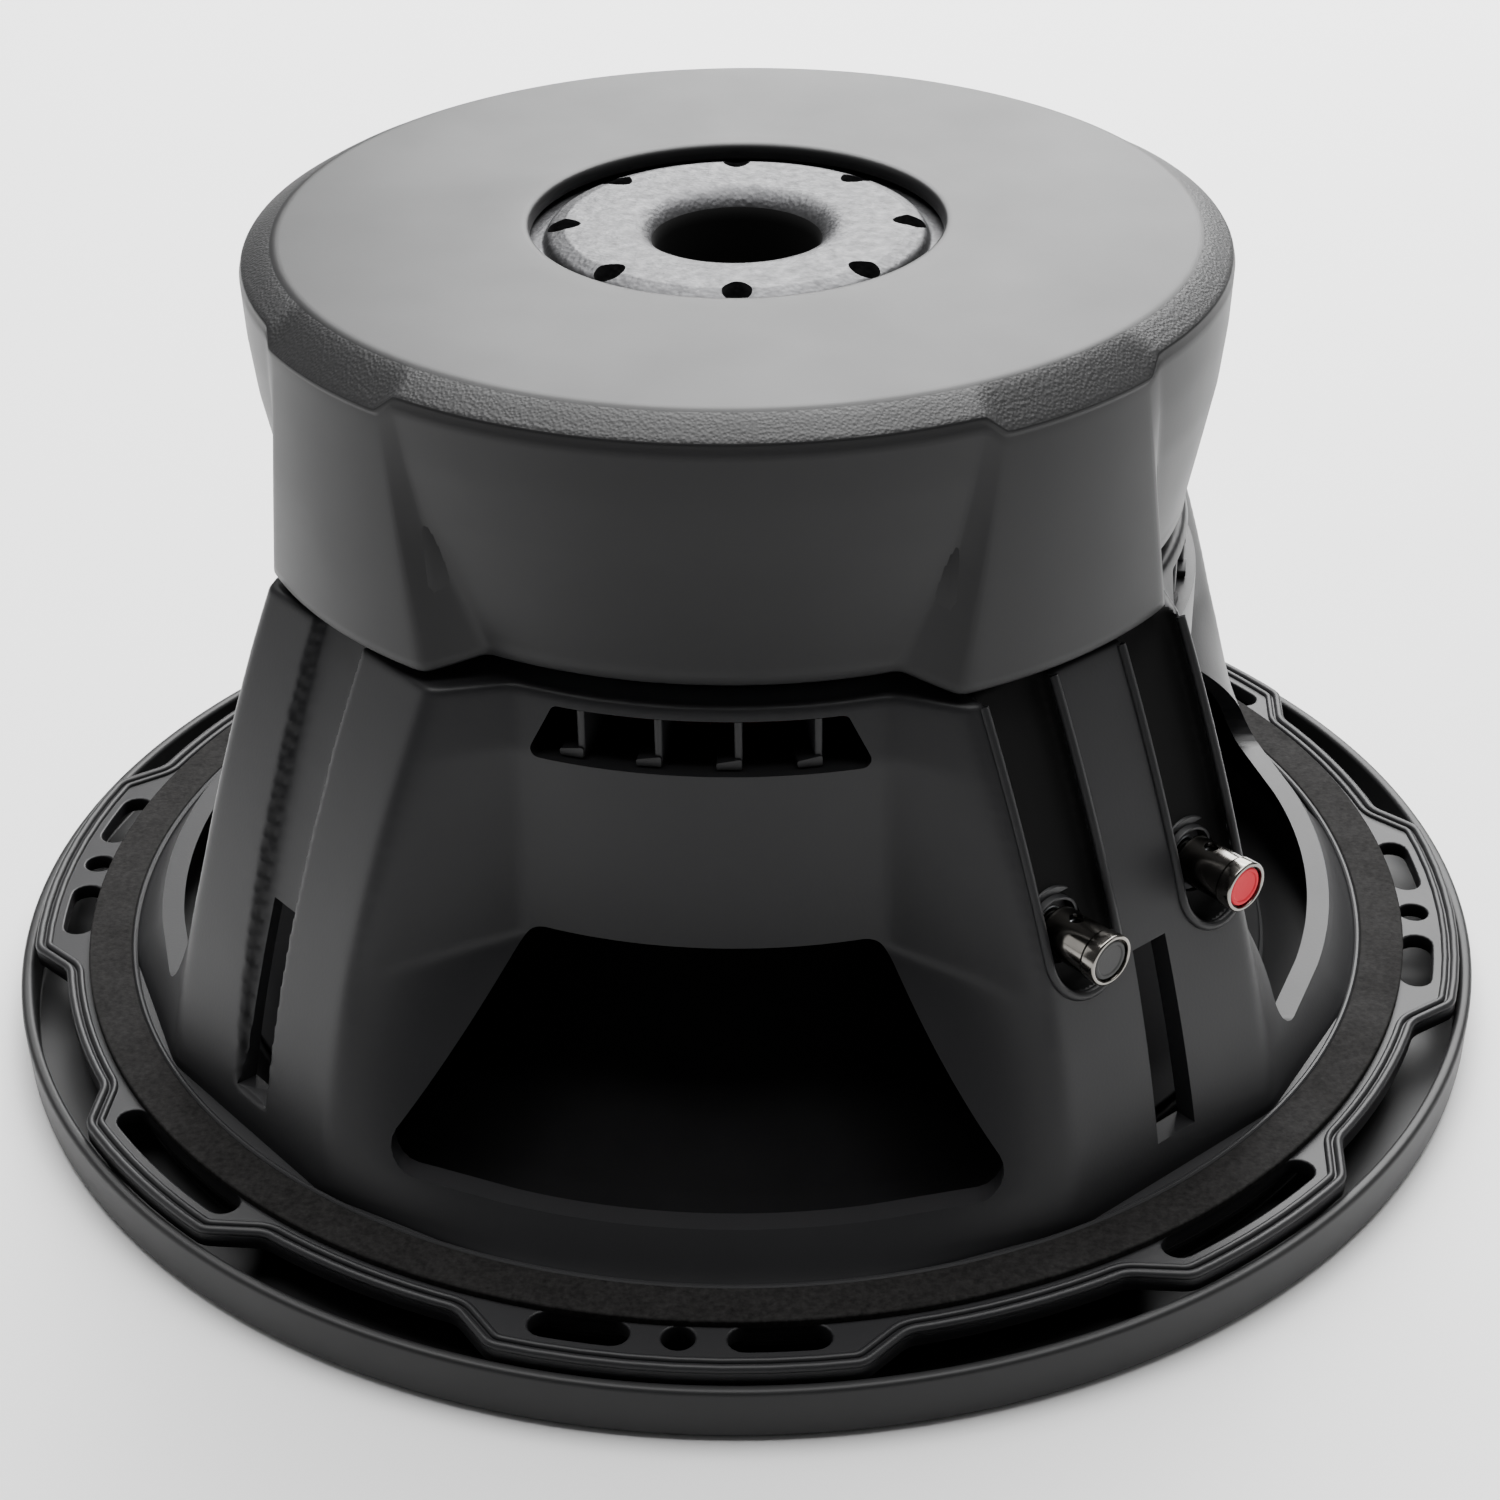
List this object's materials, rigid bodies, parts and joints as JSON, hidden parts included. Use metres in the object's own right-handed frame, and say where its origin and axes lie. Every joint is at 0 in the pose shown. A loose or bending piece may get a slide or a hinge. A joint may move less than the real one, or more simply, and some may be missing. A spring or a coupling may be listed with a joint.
{
  "type": "car subwoofer speaker",
  "caption": "Car subwoofer speaker: vented cast basket, rubber-booted magnet with a flared pole vent, push terminals, trim ring and a moving cone.",
  "frame": {"origin": "centre of the trim ring's front face, the plane the speaker stands on with its magnet up", "axes": "+Z along the cone's axis from the front towards the magnet, -Y towards the basket window seen first, and the terminal leg midway between +X and -Y"},
  "size_m": [0.33, 0.33, 0.1787],
  "materials": {
    "cast_black": "satin black powder coat over cast aluminium",
    "gasket_foam": "matte pressed-fibre gasket",
    "ring_rubber": "matte moulded rubber",
    "black_plastic": "matte moulded plastic",
    "plated_steel": "zinc plated, fine cast texture",
    "ferrite": "dark fired ferrite",
    "bare_aluminium": "bare drawn aluminium",
    "boot_rubber": "satin rubber with a pebbled bevel",
    "cone_black": "coated black cone",
    "coil_copper": "enamelled copper wire",
    "spider_cloth": "resin-stiffened woven cloth",
    "surround_rubber": "matte moulded rubber",
    "screw_black": "black oxide steel",
    "chrome_plate": "polished nickel-chrome plate",
    "spring_steel": "bright spring wire",
    "insert_grey": "moulded grey plastic",
    "insert_red": "moulded red plastic",
    "tinned_brass": "tinned brass strip",
    "lead_copper": "bare woven copper tinsel"
  },
  "bodies": {
    "root": {"basket": "cast_black", "mounting_gasket": "gasket_foam", "trim_ring": "ring_rubber", "spider_ring": "black_plastic", "top_plate": "plated_steel", "magnet_front": "ferrite", "magnet_rear": "ferrite", "shorting_ring": "bare_aluminium", "yoke": "plated_steel", "magnet_boot": "boot_rubber", "spider": "spider_cloth", "surround": "surround_rubber", "motor_screw_1": "screw_black", "motor_screw_2": "screw_black", "motor_screw_3": "screw_black", "motor_screw_4": "screw_black", "motor_screw_5": "screw_black", "motor_screw_6": "screw_black", "motor_screw_7": "screw_black", "motor_screw_8": "screw_black", "terminal_base_negative": "black_plastic", "terminal_core_negative": "chrome_plate", "terminal_spring_negative": "spring_steel", "solder_tab_negative": "tinned_brass", "flexible_lead_negative": "lead_copper", "terminal_base_positive": "black_plastic", "terminal_core_positive": "chrome_plate", "terminal_spring_positive": "spring_steel", "solder_tab_positive": "tinned_brass", "flexible_lead_positive": "lead_copper"},
    "cone_assembly": {"cone": "cone_black", "dust_cap": "cone_black", "voice_coil_former": "bare_aluminium", "voice_coil_winding": "coil_copper"},
    "push_terminal_negative": {"terminal_barrel_negative": "chrome_plate", "terminal_insert_negative": "insert_grey"},
    "push_terminal_positive": {"terminal_barrel_positive": "chrome_plate", "terminal_insert_positive": "insert_red"}
  },
  "joints": [
    {"name": "cone_excursion", "type": "slide", "parent": "root", "child": "cone_assembly", "axis": [0, 0, 1], "range_m": [-0.014, 0.014], "stiffness_N_per_m": 5000, "deforming": ["surround", "spider", "flexible_lead_negative", "flexible_lead_positive"]},
    {"name": "terminal_press_negative", "type": "slide", "parent": "root", "child": "push_terminal_negative", "axis": [-0.7071, 0.7071, 0], "range_m": [0, 0.003], "stiffness_N_per_m": 1000, "springref_m": -0.002, "deforming": ["terminal_spring_negative"]},
    {"name": "terminal_press_positive", "type": "slide", "parent": "root", "child": "push_terminal_positive", "axis": [-0.7071, 0.7071, 0], "range_m": [0, 0.003], "stiffness_N_per_m": 1000, "springref_m": -0.002, "deforming": ["terminal_spring_positive"]}
  ]
}
